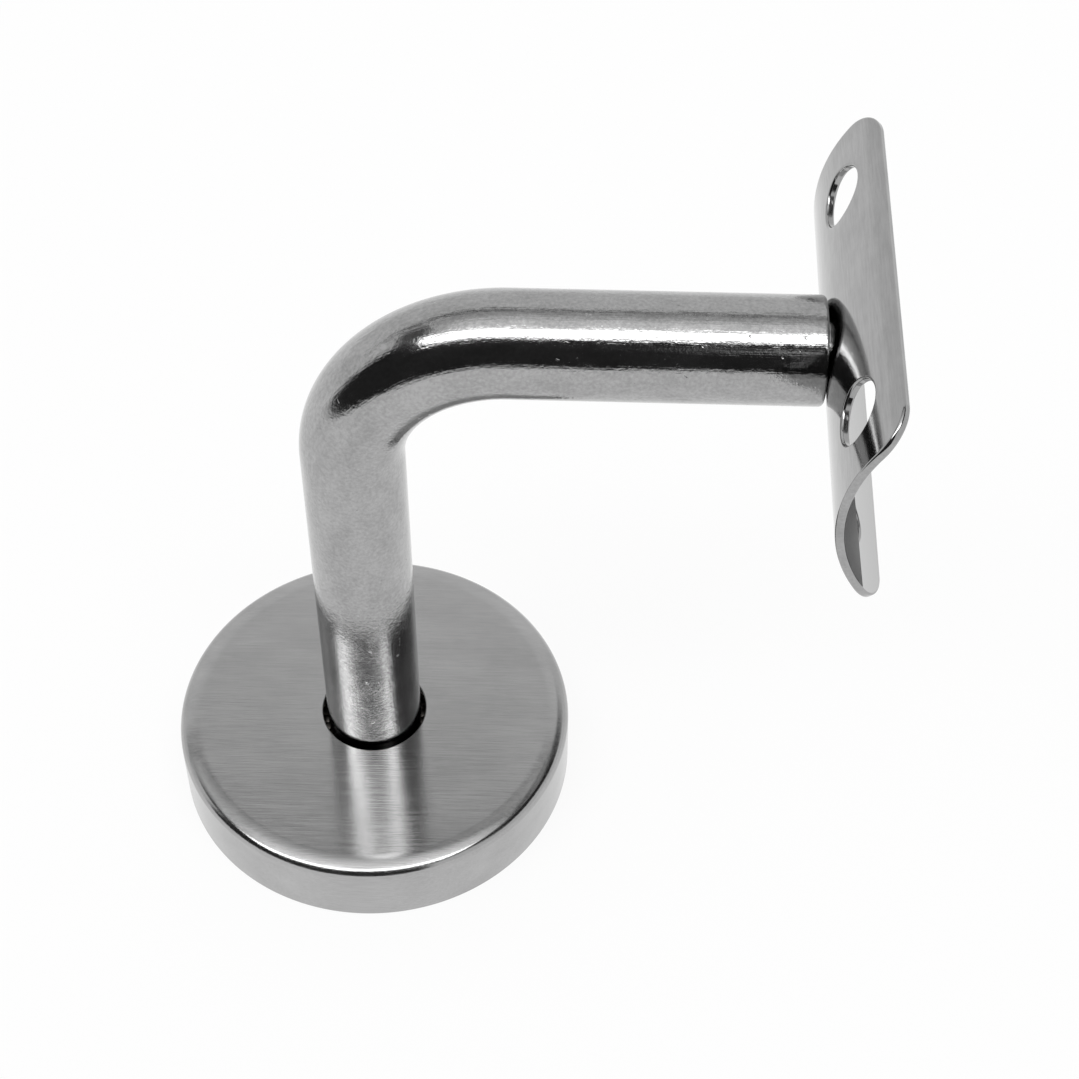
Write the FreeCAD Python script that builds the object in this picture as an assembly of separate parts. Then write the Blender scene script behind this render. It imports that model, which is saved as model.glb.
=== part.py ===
import FreeCAD, Part
import math
import os

# Wall bracket for a round handrail, in stainless steel.
#
# A solid round arm stands square out of a round wall flange, turns through one bend and ends in a
# curved saddle plate that cradles the rail from below.  A drawn cover rose hides the flange and its
# screws, and slides along the straight of the arm when the screws have to be reached.
#
# Frame: the origin is the centre of the wall face.  +Z points away from the wall, +X runs along the
# free end of the arm towards the rail, and Y runs along the rail.  On the wall +X is up.  Millimetres.

V = FreeCAD.Vector
ORIGIN = V(0, 0, 0)
X_AXIS = V(1, 0, 0)
Y_AXIS = V(0, 1, 0)
Z_AXIS = V(0, 0, 1)

# ---- arm: one length of solid round bar, bent once and turned down at the rail end
ARM_DIAMETER = 12.0
ARM_STANDOFF = 76.7           # wall face to the centre line of the arm's free end
ARM_REACH = 51.6              # centre line of the arm's foot to its shoulder on the saddle
BEND_RADIUS = 17.9            # of the centre line
ARM_END_CHAMFER = 0.5
SPIGOT_DIAMETER = 7.0         # turned end that passes into the saddle plate
SPIGOT_LENGTH = 0.5

# ---- wall flange: turned disc that the arm is welded into
FLANGE_THICKNESS = 4.0
FLANGE_EDGE_CHAMFER = 0.6
FLANGE_BORE_FIT = 0.05        # radial, around the arm's foot
WALL_SCREWS = 3
WALL_SCREW_CIRCLE = 33.0      # pitch circle diameter
WALL_SCREW_HOLE = 5.2
WALL_SCREW_COUNTERSINK = 9.4  # mouth diameter, 90 degree countersink
WALL_SCREW_START = 60.0       # degrees from +X, which puts one hole straight below the arm

# ---- welds
FOOT_WELD_LEG = 2.6

# ---- cover rose: deep-drawn cap, open towards the wall
COVER_DIAMETER = 50.0
COVER_HEIGHT = 9.5
COVER_SHEET = 0.8
COVER_EDGE_RADIUS = 1.6       # outside of the drawn edge
COVER_ARM_GAP = 0.6           # radial, between its hole and the arm
COVER_FLANGE_GAP = 0.3        # radial, between its skirt and the flange
COVER_LIP_BREAK = 0.15        # broken edge around the hole and along the rim

# ---- saddle plate: rounded rectangle of sheet, rolled to the rail
RAIL_DIAMETER = 38.1
RAIL_FIT = 0.3                # radial, between the rail and the plate
SADDLE_SHEET = 1.0
SADDLE_LENGTH = 48.8          # along the rail
SADDLE_WIDTH = 30.6           # round the curve, on the back of the plate
SADDLE_CORNER_RADIUS = 4.2
SADDLE_EDGE_BREAK = 0.2
RAIL_SCREW_HOLE = 7.0
RAIL_SCREW_PITCH_LONG = 32.0  # between holes along the rail
RAIL_SCREW_PITCH_WIDE = 16.0  # between holes round the curve, on the back of the plate

# ---- how close two sizes must be to count as the same
SAME = 1e-6
SAME_SURFACE = 1e-4

# ---- worked out from the sizes above
arm_radius = ARM_DIAMETER / 2
spigot_radius = SPIGOT_DIAMETER / 2
cover_radius = COVER_DIAMETER / 2
cover_hole_radius = arm_radius + COVER_ARM_GAP
flange_radius = cover_radius - COVER_SHEET - COVER_FLANGE_GAP
saddle_inner_radius = RAIL_DIAMETER / 2 + RAIL_FIT
saddle_outer_radius = saddle_inner_radius + SADDLE_SHEET
rail_centre = V(ARM_REACH + saddle_outer_radius, 0, ARM_STANDOFF)


def revolved(edges):
    """Solid swept by a closed outline turning once about the foot of the arm."""
    return Part.Face(Part.Wire(edges)).revolve(ORIGIN, Z_AXIS, 360)


def outline(*points):
    """Closed chain of straight edges through (radius, height) points in the XZ plane."""
    corners = [V(radius, 0, height) for radius, height in points]
    corners.append(corners[0])
    return [Part.LineSegment(a, b).toShape() for a, b in zip(corners, corners[1:])]


def polar(radius, degrees, height=0.0):
    """Point at a radius and an angle about the foot of the arm."""
    turn = math.radians(degrees)
    return V(radius * math.cos(turn), radius * math.sin(turn), height)


def wall_screw_angles():
    """Directions of the wall screws about the arm, in degrees."""
    return [WALL_SCREW_START + index * 360.0 / WALL_SCREWS for index in range(WALL_SCREWS)]


def build_arm():
    """Bar with its foot flush in the wall face, one bend, a chamfered shoulder and a spigot."""
    bend_start = ARM_STANDOFF - BEND_RADIUS
    bend_axis = V(BEND_RADIUS, 0, bend_start)
    leg = Part.makeCylinder(arm_radius, bend_start, ORIGIN, Z_AXIS)
    section = Part.Face(Part.Wire(Part.makeCircle(arm_radius, V(0, 0, bend_start), Z_AXIS)))
    bend = section.revolve(bend_axis, Y_AXIS, 90)
    free_length = ARM_REACH - BEND_RADIUS
    free_end = Part.makeCylinder(arm_radius, free_length, V(BEND_RADIUS, 0, ARM_STANDOFF), X_AXIS)
    shoulder = [edge for edge in free_end.Edges if abs(edge.CenterOfMass.x - ARM_REACH) < SAME]
    free_end = free_end.makeChamfer(ARM_END_CHAMFER, shoulder)
    spigot = Part.makeCylinder(spigot_radius, SPIGOT_LENGTH, V(ARM_REACH, 0, ARM_STANDOFF), X_AXIS)
    return leg.fuse([bend, free_end, spigot]).removeSplitter()


def build_wall_flange():
    """Turned disc with a bore for the arm and countersunk holes for the wall screws."""
    disc = Part.makeCylinder(flange_radius, FLANGE_THICKNESS)
    rim = [edge for edge in disc.Edges if abs(edge.CenterOfMass.z - FLANGE_THICKNESS) < SAME]
    disc = disc.makeChamfer(FLANGE_EDGE_CHAMFER, rim)
    cuts = [Part.makeCylinder(arm_radius + FLANGE_BORE_FIT, FLANGE_THICKNESS)]
    hole_radius = WALL_SCREW_HOLE / 2
    mouth_radius = WALL_SCREW_COUNTERSINK / 2
    sink_depth = mouth_radius - hole_radius
    for angle in wall_screw_angles():
        centre = polar(WALL_SCREW_CIRCLE / 2, angle)
        cuts.append(Part.makeCylinder(hole_radius, FLANGE_THICKNESS, centre))
        sink_base = centre + V(0, 0, FLANGE_THICKNESS - sink_depth)
        cuts.append(Part.makeCone(hole_radius, mouth_radius, sink_depth, sink_base, Z_AXIS))
    return disc.cut(cuts)


def build_foot_weld():
    """Fillet bead in the corner between the arm and the top of the flange."""
    corner = (arm_radius, FLANGE_THICKNESS)
    toe = (arm_radius + FOOT_WELD_LEG, FLANGE_THICKNESS)
    head = (arm_radius, FLANGE_THICKNESS + FOOT_WELD_LEG)
    return revolved(outline(corner, toe, head))


def build_cover_rose():
    """Drawn cap: flat top with a hole for the arm, rounded edge and a straight skirt.

    Inside, the edge is one flat that touches the true inner radius, so the wall keeps its thickness.
    """
    inner_flat = (COVER_EDGE_RADIUS - COVER_SHEET) * (2 - math.sqrt(2))
    solid = revolved(outline((0, 0), (cover_radius, 0), (cover_radius, COVER_HEIGHT), (0, COVER_HEIGHT)))
    top_edges = [edge for edge in solid.Edges if is_ring(edge, cover_radius, COVER_HEIGHT)]
    solid = solid.makeFillet(COVER_EDGE_RADIUS, top_edges)
    hollow_radius = cover_radius - COVER_SHEET
    hollow_height = COVER_HEIGHT - COVER_SHEET
    hollow = Part.makeCylinder(hollow_radius, hollow_height)
    hollow_edges = [edge for edge in hollow.Edges if is_ring(edge, hollow_radius, hollow_height)]
    hollow = hollow.makeChamfer(inner_flat, hollow_edges)
    hole = Part.makeCylinder(cover_hole_radius, COVER_HEIGHT)
    cap = solid.cut([hollow, hole])
    broken = [edge for edge in cap.Edges if is_ring(edge, cover_hole_radius, COVER_HEIGHT)]
    broken += [edge for edge in cap.Edges if is_ring(edge, cover_radius, 0)]
    return cap.makeChamfer(COVER_LIP_BREAK, broken)


def is_ring(edge, radius, height):
    """True for the circular edge of a given radius that lies level at a given height."""
    curve = edge.Curve
    if not isinstance(curve, Part.Circle):
        return False
    return abs(curve.Radius - radius) < SAME and abs(curve.Center.z - height) < SAME


def rail_sector(radius, half_angle):
    """Face of a circular sector about the rail's axis that opens towards the arm."""
    start = -SADDLE_LENGTH / 2
    centre = rail_centre + V(0, start, 0)
    tips = [radial_point(radius, sign * half_angle, start) for sign in (-1, 0, 1)]
    edges = [
        Part.LineSegment(centre, tips[0]).toShape(),
        Part.Arc(*tips).toShape(),
        Part.LineSegment(tips[2], centre).toShape(),
    ]
    return Part.Face(Part.Wire(edges))


def radial_direction(angle):
    """Unit vector from the rail's axis towards the arm, turned up by an angle in radians."""
    return V(-math.cos(angle), 0, math.sin(angle))


def radial_point(radius, angle, along):
    """Point at a radius and angle from the rail's axis, and a distance along the rail."""
    return rail_centre + radial_direction(angle) * radius + V(0, along, 0)


def build_saddle_plate():
    """Rolled plate with rounded corners, a centre hole for the spigot and four screw holes."""
    half_angle = SADDLE_WIDTH / 2 / saddle_outer_radius
    plate = rail_sector(saddle_outer_radius, half_angle).extrude(Y_AXIS * SADDLE_LENGTH)
    rail_start = rail_centre - Y_AXIS * SADDLE_LENGTH
    plate = plate.cut(Part.makeCylinder(saddle_inner_radius, 2 * SADDLE_LENGTH, rail_start, Y_AXIS))
    corners = [edge for edge in plate.Edges if is_plate_corner(edge)]
    plate = plate.makeFillet(SADDLE_CORNER_RADIUS, corners)
    plate = plate.makeChamfer(SADDLE_EDGE_BREAK, back_border(plate))
    cuts = [Part.makeCylinder(spigot_radius, SADDLE_WIDTH / 2, V(ARM_REACH, 0, ARM_STANDOFF), X_AXIS)]
    for along, angle in rail_screw_places():
        inside = radial_point(saddle_inner_radius - SADDLE_SHEET, angle, along)
        drill = Part.makeCylinder(RAIL_SCREW_HOLE / 2, 3 * SADDLE_SHEET, inside, radial_direction(angle))
        cuts.append(drill)
    return plate.cut(cuts)


def is_plate_corner(edge):
    """True for the four short edges that run through the sheet at the plate's corners."""
    return isinstance(edge.Curve, Part.Line) and abs(edge.Length - SADDLE_SHEET) < SAME


def back_border(plate):
    """Edges of the plate's outline on its back, the side that faces the arm."""
    return [edge for edge in plate.Edges if lies_on_back(edge)]


def lies_on_back(edge):
    """True where every part of an edge is on the plate's outer cylinder."""
    for step in range(5):
        low, high = edge.ParameterRange
        point = edge.valueAt(low + (high - low) * step / 4)
        radius = math.hypot(point.x - rail_centre.x, point.z - rail_centre.z)
        if abs(radius - saddle_outer_radius) > SAME_SURFACE:
            return False
    return True


def rail_screw_places():
    """Distance along the rail and angle in radians of each rail screw hole."""
    half_angle = RAIL_SCREW_PITCH_WIDE / 2 / saddle_outer_radius
    half_length = RAIL_SCREW_PITCH_LONG / 2
    return [(side * half_length, turn * half_angle) for side in (-1, 1) for turn in (-1, 1)]


def build_saddle_weld():
    """Plug weld over the spigot, dressed flush with the face that takes the rail."""
    spigot_end = V(ARM_REACH + SPIGOT_LENGTH, 0, ARM_STANDOFF)
    plug = Part.makeCylinder(spigot_radius, SADDLE_WIDTH / 2, spigot_end, X_AXIS)
    rail_start = rail_centre - Y_AXIS * SADDLE_LENGTH
    rail_space = Part.makeCylinder(saddle_inner_radius, 2 * SADDLE_LENGTH, rail_start, Y_AXIS)
    return plug.cut(rail_space)


BUILDERS = {
    "arm": build_arm,
    "wall_flange": build_wall_flange,
    "foot_weld": build_foot_weld,
    "cover_rose": build_cover_rose,
    "saddle_plate": build_saddle_plate,
    "saddle_weld": build_saddle_weld,
}


def main():
    """Build every piece and write it to its own STEP file."""
    os.makedirs("parts", exist_ok=True)
    for name, builder in BUILDERS.items():
        shape = builder()
        if len(shape.Solids) != 1 or not shape.isValid():
            raise ValueError(f"{name} is not one valid solid")
        shape.Solids[0].exportStep(f"parts/{name}.step")


main()
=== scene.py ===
"""Looks of a stainless steel handrail bracket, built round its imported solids."""

import logging
import math
from dataclasses import dataclass
from enum import Enum
from typing import Any, Callable, Mapping, Optional, Sequence

import bmesh
import bpy
from mathutils import Matrix, Vector
from mathutils.geometry import delaunay_2d_cdt


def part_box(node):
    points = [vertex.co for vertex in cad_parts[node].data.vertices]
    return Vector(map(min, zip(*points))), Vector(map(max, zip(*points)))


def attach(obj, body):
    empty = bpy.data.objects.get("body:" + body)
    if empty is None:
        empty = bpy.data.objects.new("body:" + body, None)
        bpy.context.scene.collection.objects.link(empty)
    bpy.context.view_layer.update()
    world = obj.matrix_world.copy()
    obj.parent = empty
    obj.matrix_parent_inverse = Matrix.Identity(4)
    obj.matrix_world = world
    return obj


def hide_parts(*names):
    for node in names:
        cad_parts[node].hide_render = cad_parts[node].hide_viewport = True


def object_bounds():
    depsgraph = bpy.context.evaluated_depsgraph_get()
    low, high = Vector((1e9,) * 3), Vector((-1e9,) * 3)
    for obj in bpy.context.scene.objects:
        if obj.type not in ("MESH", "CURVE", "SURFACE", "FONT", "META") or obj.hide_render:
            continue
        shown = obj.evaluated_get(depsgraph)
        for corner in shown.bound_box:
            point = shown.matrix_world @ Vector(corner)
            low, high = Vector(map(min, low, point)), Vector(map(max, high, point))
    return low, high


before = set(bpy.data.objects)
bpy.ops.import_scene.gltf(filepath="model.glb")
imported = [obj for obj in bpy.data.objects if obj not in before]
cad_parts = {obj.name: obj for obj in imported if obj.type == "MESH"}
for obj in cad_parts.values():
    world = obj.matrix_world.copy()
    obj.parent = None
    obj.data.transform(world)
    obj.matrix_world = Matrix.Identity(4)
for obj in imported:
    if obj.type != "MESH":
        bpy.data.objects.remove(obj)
CAD_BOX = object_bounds()

LOG = logging.getLogger("handrail_bracket")
MM = 0.001
# Two vertices are one where they are the same to this many steps in a metre.
MERGE_STEPS = 1e8
EDGE_STEPS = 5
# Where most values of a noise lie, and how much of it each finer layer keeps.
CLOUD_SPREAD = (0.3, 0.75)
NOISE_SPREAD = (0.3, 0.7)
MOTTLE_SPREAD = (0.36, 0.62)
LAYER_SHARE = 0.6

Corner = tuple[Vector, Vector]
Span = tuple[float, float]
Cell = tuple[float, float, float]


class Body(Enum):
    """Rigid bodies of the bracket."""

    BRACKET = "bracket"
    COVER = "cover"


class Node(Enum):
    """Solids of the bracket."""

    ARM = "arm"
    FLANGE = "wall_flange"
    FOOT_WELD = "foot_weld"
    COVER = "cover_rose"
    SADDLE = "saddle_plate"
    SADDLE_WELD = "saddle_weld"


# ---------------------------------------------------------------- helpers


def linear(hex_value: str) -> tuple[float, float, float, float]:
    """Turns an sRGB hex colour into linear RGBA.

    Args:
        hex_value: Six hex digits, with or without a leading hash.

    Returns:
        Linear red, green and blue, and an alpha of 1.
    """
    digits = hex_value.lstrip("#")
    channels = [int(digits[index : index + 2], 16) / 255 for index in (0, 2, 4)]
    turned = [c / 12.92 if c <= 0.04045 else ((c + 0.055) / 1.055) ** 2.4 for c in channels]
    return (turned[0], turned[1], turned[2], 1.0)


def add_node(
    tree: bpy.types.NodeTree,
    kind: str,
    settings: Optional[Mapping[str, Any]] = None,
    feeds: Optional[Mapping[Any, Any]] = None,
) -> bpy.types.Node:
    """Adds one node to a tree.

    Args:
        tree: The tree that takes the node.
        kind: Blender's type name of the node.
        settings: Property values by name.
        feeds: What each input gets, by socket name or index: an output socket or a value.

    Returns:
        The new node.
    """
    node = tree.nodes.new(kind)
    for name, value in (settings or {}).items():
        setattr(node, name, value)
    for name, value in (feeds or {}).items():
        if isinstance(value, bpy.types.NodeSocket):
            tree.links.new(value, node.inputs[name])
        else:
            node.inputs[name].default_value = value
    return node


def link_object(piece: bpy.types.Object) -> bpy.types.Object:
    """Puts an object in the scene and returns it."""
    bpy.context.scene.collection.objects.link(piece)
    return piece


def node_size(node: Node) -> tuple[Vector, Vector]:
    """Lowest and highest corner of a solid at rest, in metres."""
    low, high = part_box(node.value)
    return Vector(low), Vector(high)


# ---------------------------------------------------------------- surfaces


class Skin:
    """Closed surface gathered face by face, with the true normal at every corner."""

    def __init__(self) -> None:
        """Starts with nothing."""
        self.points: list[Vector] = []
        self.index: dict[tuple[int, int, int], int] = {}
        self.faces: list[list[int]] = []
        self.normals: list[Vector] = []

    def point(self, place: Vector) -> int:
        """Number of the vertex at a place, which is made if it isn't there yet.

        Args:
            place: Where the vertex lies, in metres.

        Returns:
            Its number.
        """
        key = tuple(round(value * MERGE_STEPS) for value in place)
        if key not in self.index:
            self.index[key] = len(self.points)
            self.points.append(place)
        return self.index[key]

    def face(self, corners: Sequence[Corner]) -> None:
        """Adds a face that looks the way its corner normals do.

        Args:
            corners: Place and normal of each corner, in order round the face.
        """
        kept: list[tuple[int, Vector]] = []
        for place, normal in corners:
            number = self.point(place)
            if number not in [other for other, _ in kept]:
                kept.append((number, normal))
        if len(kept) < 3:
            return
        a, b, c = (self.points[kept[pick][0]] for pick in (0, 1, 2))
        facing = (b - a).cross(c - a)
        if facing.dot(sum((normal for _, normal in kept), Vector())) < 0:
            kept.reverse()
        self.faces.append([number for number, _ in kept])
        self.normals.extend(normal for _, normal in kept)

    def build(self, name: str, finish: bpy.types.Material) -> bpy.types.Object:
        """Makes the mesh object.

        Args:
            name: The piece's name.
            finish: Its material.

        Returns:
            The new object, at the origin.
        """
        mesh = bpy.data.meshes.new(name)
        mesh.from_pydata([tuple(place) for place in self.points], [], self.faces)
        mesh.polygons.foreach_set("use_smooth", [True] * len(mesh.polygons))
        mesh.normals_split_custom_set([tuple(normal) for normal in self.normals])
        mesh.materials.append(finish)
        return link_object(bpy.data.objects.new(name, mesh))


@dataclass(frozen=True)
class Stretch:
    """Part of a section's outline: points and outward normals in its own plane."""

    points: tuple[Vector, ...]
    normals: tuple[Vector, ...]


def straight(start: Sequence[float], end: Sequence[float]) -> Stretch:
    """Straight stretch whose outward side is on the left of its direction.

    Args:
        start: First point.
        end: Last point.

    Returns:
        The stretch, with its normals.
    """
    a, b = Vector(start), Vector(end)
    along = (b - a).normalized()
    normal = Vector((-along.y, along.x))
    return Stretch((a, b), (normal, normal))


def rounded(
    centre: Sequence[float], radius: float, start: float, end: float, steps: int = 6, out: int = 1
) -> Stretch:
    """Circular stretch.

    Args:
        centre: Middle of the circle.
        radius: Its radius.
        start: First angle in degrees.
        end: Last angle in degrees.
        steps: Number of chords.
        out: 1 where the outward side is away from the centre, and -1 where it is towards it.

    Returns:
        The stretch, with its true normals.
    """
    angles = [math.radians(start + (end - start) * step / steps) for step in range(steps + 1)]
    rays = [Vector((math.cos(angle), math.sin(angle))) for angle in angles]
    middle = Vector(centre)
    return Stretch(tuple(middle + ray * radius for ray in rays), tuple(ray * out for ray in rays))


def lathe(
    name: str, section: Sequence[Stretch], finish: bpy.types.Material, steps: int = 192
) -> bpy.types.Object:
    """Turns a closed section about the Z axis.

    Args:
        name: The piece's name.
        section: Stretches in (radius, height), in metres.
        finish: The piece's material.
        steps: Number of faces round the axis.

    Returns:
        The turned piece.
    """
    skin = Skin()
    turns = [2 * math.pi * step / steps for step in range(steps + 1)]
    turns[-1] = 0.0

    def at(pair: Vector, turn: float) -> Vector:
        """Point or direction of the section once it has turned."""
        return Vector((pair.x * math.cos(turn), pair.x * math.sin(turn), pair.y))

    for stretch in section:
        ends = list(zip(stretch.points, stretch.normals))
        for (p, n), (q, m) in zip(ends, ends[1:]):
            for one, two in zip(turns, turns[1:]):
                skin.face([(at(p, one), at(n, one)), (at(q, one), at(m, one)),
                           (at(q, two), at(m, two)), (at(p, two), at(n, two))])
    return skin.build(name, finish)


@dataclass(frozen=True)
class RoundedRectangle:
    """Outline of a sheet, in the flat."""

    half_length: float
    half_width: float
    corner: float
    steps: int = 14
    spacing: float = 0.8 * MM

    def outline(self, inset: float) -> list[tuple[Vector, Vector]]:
        """Points and outward directions of the outline, drawn in by an inset.

        Args:
            inset: How far the outline is drawn in, in metres.

        Returns:
            Each point with its outward direction, in order.
        """
        pairs = []
        u, v = self.half_length - self.corner, self.half_width - self.corner
        corners = ((1, 1, 0), (-1, 1, 90), (-1, -1, 180), (1, -1, 270))
        for (sign_u, sign_v, start), (next_u, next_v, _) in zip(corners, corners[1:] + corners[:1]):
            centre = Vector((sign_u * u, sign_v * v))
            bow = rounded(centre, self.corner - inset, start, start + 90, self.steps)
            pairs += list(zip(bow.points, bow.normals))
            after = Vector((next_u * u, next_v * v))
            count = int((after - centre).length / self.spacing)
            pairs += [(bow.points[-1].lerp(bow.points[-1] + after - centre, step / count), bow.normals[-1])
                      for step in range(1, count)]
        return pairs

    def clearance(self, place: Vector) -> float:
        """Distance of a place in the sheet from the outline, negative outside.

        Args:
            place: Place in the sheet's own plane.

        Returns:
            The distance in metres.
        """
        over_u = abs(place.x) - (self.half_length - self.corner)
        over_v = abs(place.y) - (self.half_width - self.corner)
        outside = Vector((max(over_u, 0), max(over_v, 0))).length
        return self.corner - outside - min(max(over_u, over_v), 0)


@dataclass(frozen=True)
class RoundHole:
    """Hole through a sheet, in the flat."""

    centre: tuple[float, float]
    radius: float
    steps: int = 64

    def outline(self, inset: float) -> list[tuple[Vector, Vector]]:
        """Points and directions into the hole, with the hole made larger by an inset."""
        ring = rounded(self.centre, self.radius + inset, 0, 360, self.steps, out=-1)
        return list(zip(ring.points, ring.normals))[:-1]

    def clearance(self, place: Vector) -> float:
        """Distance of a place in the sheet from the hole, negative inside it."""
        return (place - Vector(self.centre)).length - self.radius


@dataclass(frozen=True)
class RoundBlank:
    """Round outline of a disc, in the flat."""

    radius: float
    steps: int = 160

    def outline(self, inset: float) -> list[tuple[Vector, Vector]]:
        """Points and outward directions of the outline, drawn in by an inset."""
        ring = rounded((0, 0), self.radius - inset, 0, 360, self.steps)
        return list(zip(ring.points, ring.normals))[:-1]

    def clearance(self, place: Vector) -> float:
        """Distance of a place in the disc from the outline, negative outside."""
        return self.radius - place.length


@dataclass(frozen=True)
class CutEdge:
    """An outline or a hole together with the section of the edge that runs round it.

    The section's plane is (how far the edge is drawn in, how deep it lies under the top face).
    """

    shape: Any
    section: tuple[Stretch, ...]


def broken_edge(sheet: float, top: float, bottom: float) -> tuple[Stretch, ...]:
    """Section of a square-cut edge whose two corners are rounded.

    Args:
        sheet: Thickness.
        top: Radius at the top face.
        bottom: Radius at the bottom face.

    Returns:
        The stretches from the top face to the bottom face.
    """
    return (
        rounded((top, top), top, 270, 180, EDGE_STEPS),
        Stretch((Vector((0, top)), Vector((0, sheet - bottom))), (Vector((-1, 0)),) * 2),
        rounded((bottom, sheet - bottom), bottom, 180, 90, EDGE_STEPS),
    )


@dataclass(frozen=True)
class CutSheet:
    """Sheet or disc with holes, in the flat or bent."""

    edges: tuple[CutEdge, ...]
    grid: float
    place: Callable[[Vector, float], Vector]
    axes: Callable[[Vector], tuple[Vector, Vector, Vector]]
    row_share: float = 0.866
    edge_share: float = 0.55
    merge: float = 1e-9

    def build(self, name: str, finish: bpy.types.Material) -> bpy.types.Object:
        """Makes both faces and every edge of the sheet.

        Args:
            name: The piece's name.
            finish: Its material.

        Returns:
            The piece, as one closed mesh.
        """
        skin = Skin()
        for edge in self.edges:
            self.add_edge(skin, edge)
        self.add_face(skin, first=True)
        self.add_face(skin, first=False)
        return skin.build(name, finish)

    def add_edge(self, skin: Skin, edge: CutEdge) -> None:
        """Runs an edge's section round its outline.

        Args:
            skin: Surface that takes the faces.
            edge: The outline or hole, with its section.
        """
        for stretch in edge.section:
            rows = []
            for drawn, turned in zip(stretch.points, stretch.normals):
                row = []
                for flat, outward in edge.shape.outline(drawn.x):
                    along, across, up = self.axes(flat)
                    normal = (along * outward.x + across * outward.y) * -turned.x - up * turned.y
                    row.append((self.place(flat, drawn.y), normal.normalized()))
                rows.append(row)
            for near, far in zip(rows, rows[1:]):
                for step in range(len(near)):
                    after = (step + 1) % len(near)
                    skin.face([near[step], near[after], far[after], far[step]])

    def add_face(self, skin: Skin, first: bool) -> None:
        """Fills the top face, or the bottom one, with small triangles.

        Args:
            skin: Surface that takes the faces.
            first: Whether it is the top face.
        """
        flats: list[Vector] = []
        fences: list[tuple[int, int]] = []
        ends = []
        for edge in self.edges:
            stretch = edge.section[0] if first else edge.section[-1]
            end = stretch.points[0] if first else stretch.points[-1]
            ends.append(end)
            ring = [flat for flat, _ in edge.shape.outline(end.x)]
            start = len(flats)
            flats += ring
            fences += [(start + step, start + (step + 1) % len(ring)) for step in range(len(ring))]
        flats += self.fill_points([end.x for end in ends])
        spots, _, triangles, *_ = delaunay_2d_cdt(flats, fences, [], 0, self.merge)
        side = 1 if first else -1
        for triangle in triangles:
            middle = sum((spots[number] for number in triangle), Vector((0, 0))) / 3
            if all(edge.shape.clearance(middle) > end.x for edge, end in zip(self.edges, ends)):
                corners = [spots[number] for number in triangle]
                skin.face([(self.place(flat, ends[0].y), self.axes(flat)[2] * side) for flat in corners])

    def fill_points(self, insets: Sequence[float]) -> list[Vector]:
        """Grid points inside the sheet that keep off every edge.

        Args:
            insets: How far each edge is drawn in at this face.

        Returns:
            The points, in the flat.
        """
        reach = max(max(abs(flat.x), abs(flat.y)) for flat, _ in self.edges[0].shape.outline(0))
        count = int(reach / self.grid) + 1
        inside = []
        for row in range(-count, count + 1):
            for column in range(-count, count + 1):
                spot = Vector((column + 0.5 * (row % 2), row * self.row_share)) * self.grid
                gaps = [edge.shape.clearance(spot) - inset for edge, inset in zip(self.edges, insets)]
                if min(gaps) > self.edge_share * self.grid:
                    inside.append(spot)
        return inside


# ---------------------------------------------------------------- geometry nodes


def new_tree(name: str, inputs: Mapping[str, str]) -> tuple[bpy.types.NodeTree, bpy.types.Node]:
    """Starts a Geometry Nodes tree with named inputs.

    Args:
        name: The tree's name.
        inputs: Socket type of each input, by name.

    Returns:
        The tree and its group input node.
    """
    tree = bpy.data.node_groups.new(name, "GeometryNodeTree")
    tree.interface.new_socket("Geometry", in_out="INPUT", socket_type="NodeSocketGeometry")
    for label, kind in inputs.items():
        tree.interface.new_socket(label, in_out="INPUT", socket_type=kind)
    tree.interface.new_socket("Geometry", in_out="OUTPUT", socket_type="NodeSocketGeometry")
    return tree, add_node(tree, "NodeGroupInput")


def close_tree(tree: bpy.types.NodeTree, shape: bpy.types.NodeSocket, material: bpy.types.NodeSocket) -> None:
    """Ends a tree in realised, smooth geometry that wears its material.

    Args:
        tree: The tree to end.
        shape: Its geometry so far.
        material: What the geometry wears.
    """
    real = add_node(tree, "GeometryNodeRealizeInstances", feeds={"Geometry": shape})
    smooth = add_node(tree, "GeometryNodeSetShadeSmooth", feeds={"Geometry": real.outputs["Geometry"]})
    dressed = add_node(
        tree, "GeometryNodeSetMaterial", feeds={"Geometry": smooth.outputs["Geometry"], "Material": material}
    )
    add_node(tree, "NodeGroupOutput", feeds={"Geometry": dressed.outputs["Geometry"]})


def bent_bar_tree() -> bpy.types.NodeTree:
    """Tree that rounds the corners of a path and runs a round bar along it.

    Returns:
        The tree. Its seed is the corners of the path, joined by edges.
    """
    tree, given = new_tree("bent_bar", {
        "Bar radius": "NodeSocketFloat",
        "Bend radius": "NodeSocketFloat",
        "Bend steps": "NodeSocketInt",
        "Round steps": "NodeSocketInt",
        "Finish": "NodeSocketMaterial",
    })
    path = add_node(tree, "GeometryNodeMeshToCurve", feeds={"Mesh": given.outputs["Geometry"]})
    bent = add_node(tree, "GeometryNodeFilletCurve", {"mode": "POLY"}, {
        "Curve": path.outputs["Curve"],
        "Count": given.outputs["Bend steps"],
        "Radius": given.outputs["Bend radius"],
    })
    ring = add_node(tree, "GeometryNodeCurvePrimitiveCircle", feeds={
        "Resolution": given.outputs["Round steps"],
        "Radius": given.outputs["Bar radius"],
    })
    bar = add_node(tree, "GeometryNodeCurveToMesh", feeds={
        "Curve": bent.outputs["Curve"],
        "Profile Curve": ring.outputs["Curve"],
        "Fill Caps": True,
    })
    close_tree(tree, bar.outputs["Mesh"], given.outputs["Finish"])
    return tree


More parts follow.
